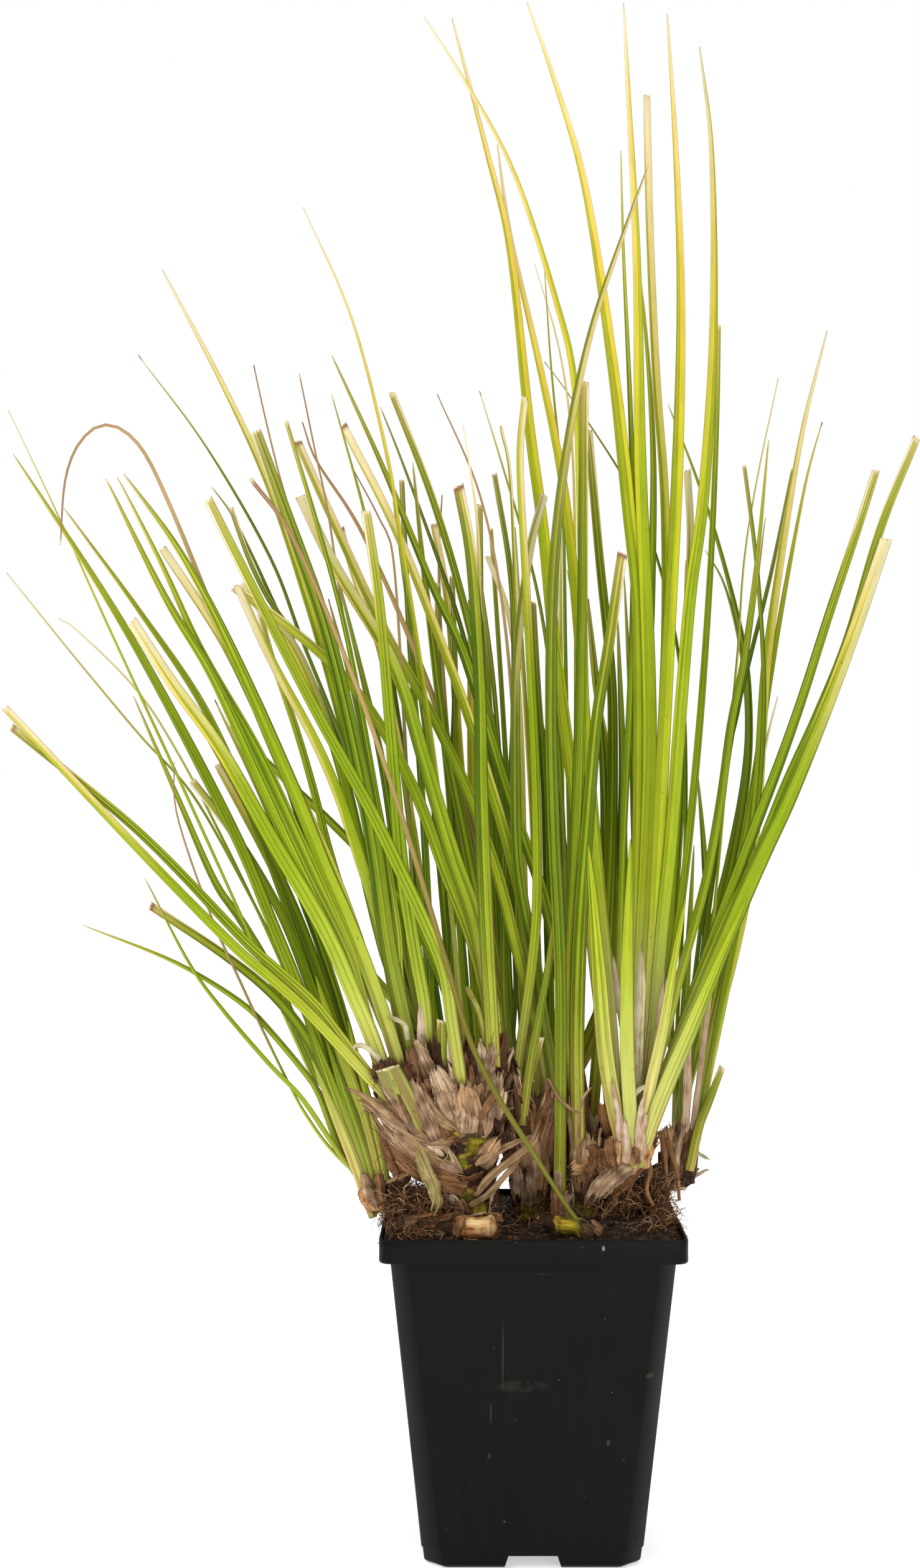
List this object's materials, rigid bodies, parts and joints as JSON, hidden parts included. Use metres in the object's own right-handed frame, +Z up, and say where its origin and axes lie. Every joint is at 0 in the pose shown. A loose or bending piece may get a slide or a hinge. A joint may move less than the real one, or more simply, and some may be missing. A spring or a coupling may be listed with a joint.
{
  "type": "potted sweet flag",
  "caption": "Potted sweet flag: a tuft of long narrow green and golden leaves on knobbly rootstocks in dark soil, in a thin square black nursery pot",
  "frame": {"origin": "the middle of the pot's base, on the surface it stands on", "axes": "+X to the right as the picture sees it, +Y away from the viewer, +Z up along the pot's axis"},
  "size_m": [0.28, 0.1464, 0.479],
  "materials": {
    "pot_black": "thin near-black moulded plastic, dusty and scratched",
    "soil_peat": "damp crumbly peat",
    "bark": "fibrous brown scales",
    "pale_bark": "pale papery scales",
    "left_clump": "green, satin",
    "big_left": "yellow-green with golden tips, satin",
    "big_middle": "yellow-green and cream, satin",
    "big_right": "yellow-green, satin",
    "rear_left": "deep green, satin",
    "middle": "green, satin",
    "centre": "bright green, satin",
    "right_fan": "yellow-green with cream edges, satin",
    "right_rear": "green, some dried, satin"
  },
  "bodies": {
    "root": {"big_left_leaf_4": "big_left", "big_left_leaf_5": "big_left", "big_left_leaves_1": "big_left", "big_left_leaves_2": "big_left", "big_left_leaves_3": "big_left", "big_middle_leaf_1": "big_middle", "big_middle_leaf_2": "big_middle", "big_middle_leaves_3": "big_middle", "big_middle_leaves_4": "big_middle", "big_middle_leaves_5": "big_middle", "big_right_leaf_1": "big_right", "big_right_leaf_2": "big_right", "big_right_leaf_5": "big_right", "big_right_leaves_3": "big_right", "big_right_leaves_4": "big_right", "big_rootstock": "bark", "centre_leaf_2": "centre", "centre_leaves_1": "centre", "cut_rootstock": "pale_bark", "left_clump_leaf_2": "left_clump", "left_clump_leaves_1": "left_clump", "left_clump_leaves_3": "left_clump", "left_clump_leaves_4": "left_clump", "left_clump_leaves_5": "left_clump", "left_rim_rootstock": "bark", "middle_leaf_1": "middle", "middle_leaf_3": "middle", "middle_leaf_4": "middle", "middle_leaves_10": "middle", "middle_leaves_2": "middle", "middle_leaves_5": "middle", "middle_leaves_6": "middle", "middle_leaves_7": "middle", "middle_leaves_8": "middle", "middle_leaves_9": "middle", "middle_rootstock": "bark", "pot": "pot_black", "rear_left_leaf_1": "rear_left", "rear_left_leaves_2": "rear_left", "rear_left_leaves_3": "rear_left", "rear_rootstock": "bark", "right_fan_leaf_1": "right_fan", "right_fan_leaf_2": "right_fan", "right_fan_leaf_7": "right_fan", "right_fan_leaves_3": "right_fan", "right_fan_leaves_4": "right_fan", "right_fan_leaves_5": "right_fan", "right_fan_leaves_6": "right_fan", "right_fan_leaves_8": "right_fan", "right_fan_leaves_9": "right_fan", "right_rear_leaf_1": "right_rear", "right_rear_leaf_6": "right_rear", "right_rear_leaves_2": "right_rear", "right_rear_leaves_3": "right_rear", "right_rear_leaves_4": "right_rear", "right_rear_leaves_5": "right_rear", "right_rear_rootstock": "bark", "right_rootstock": "pale_bark", "small_rootstock": "bark", "soil": "soil_peat"}
  },
  "joints": []
}
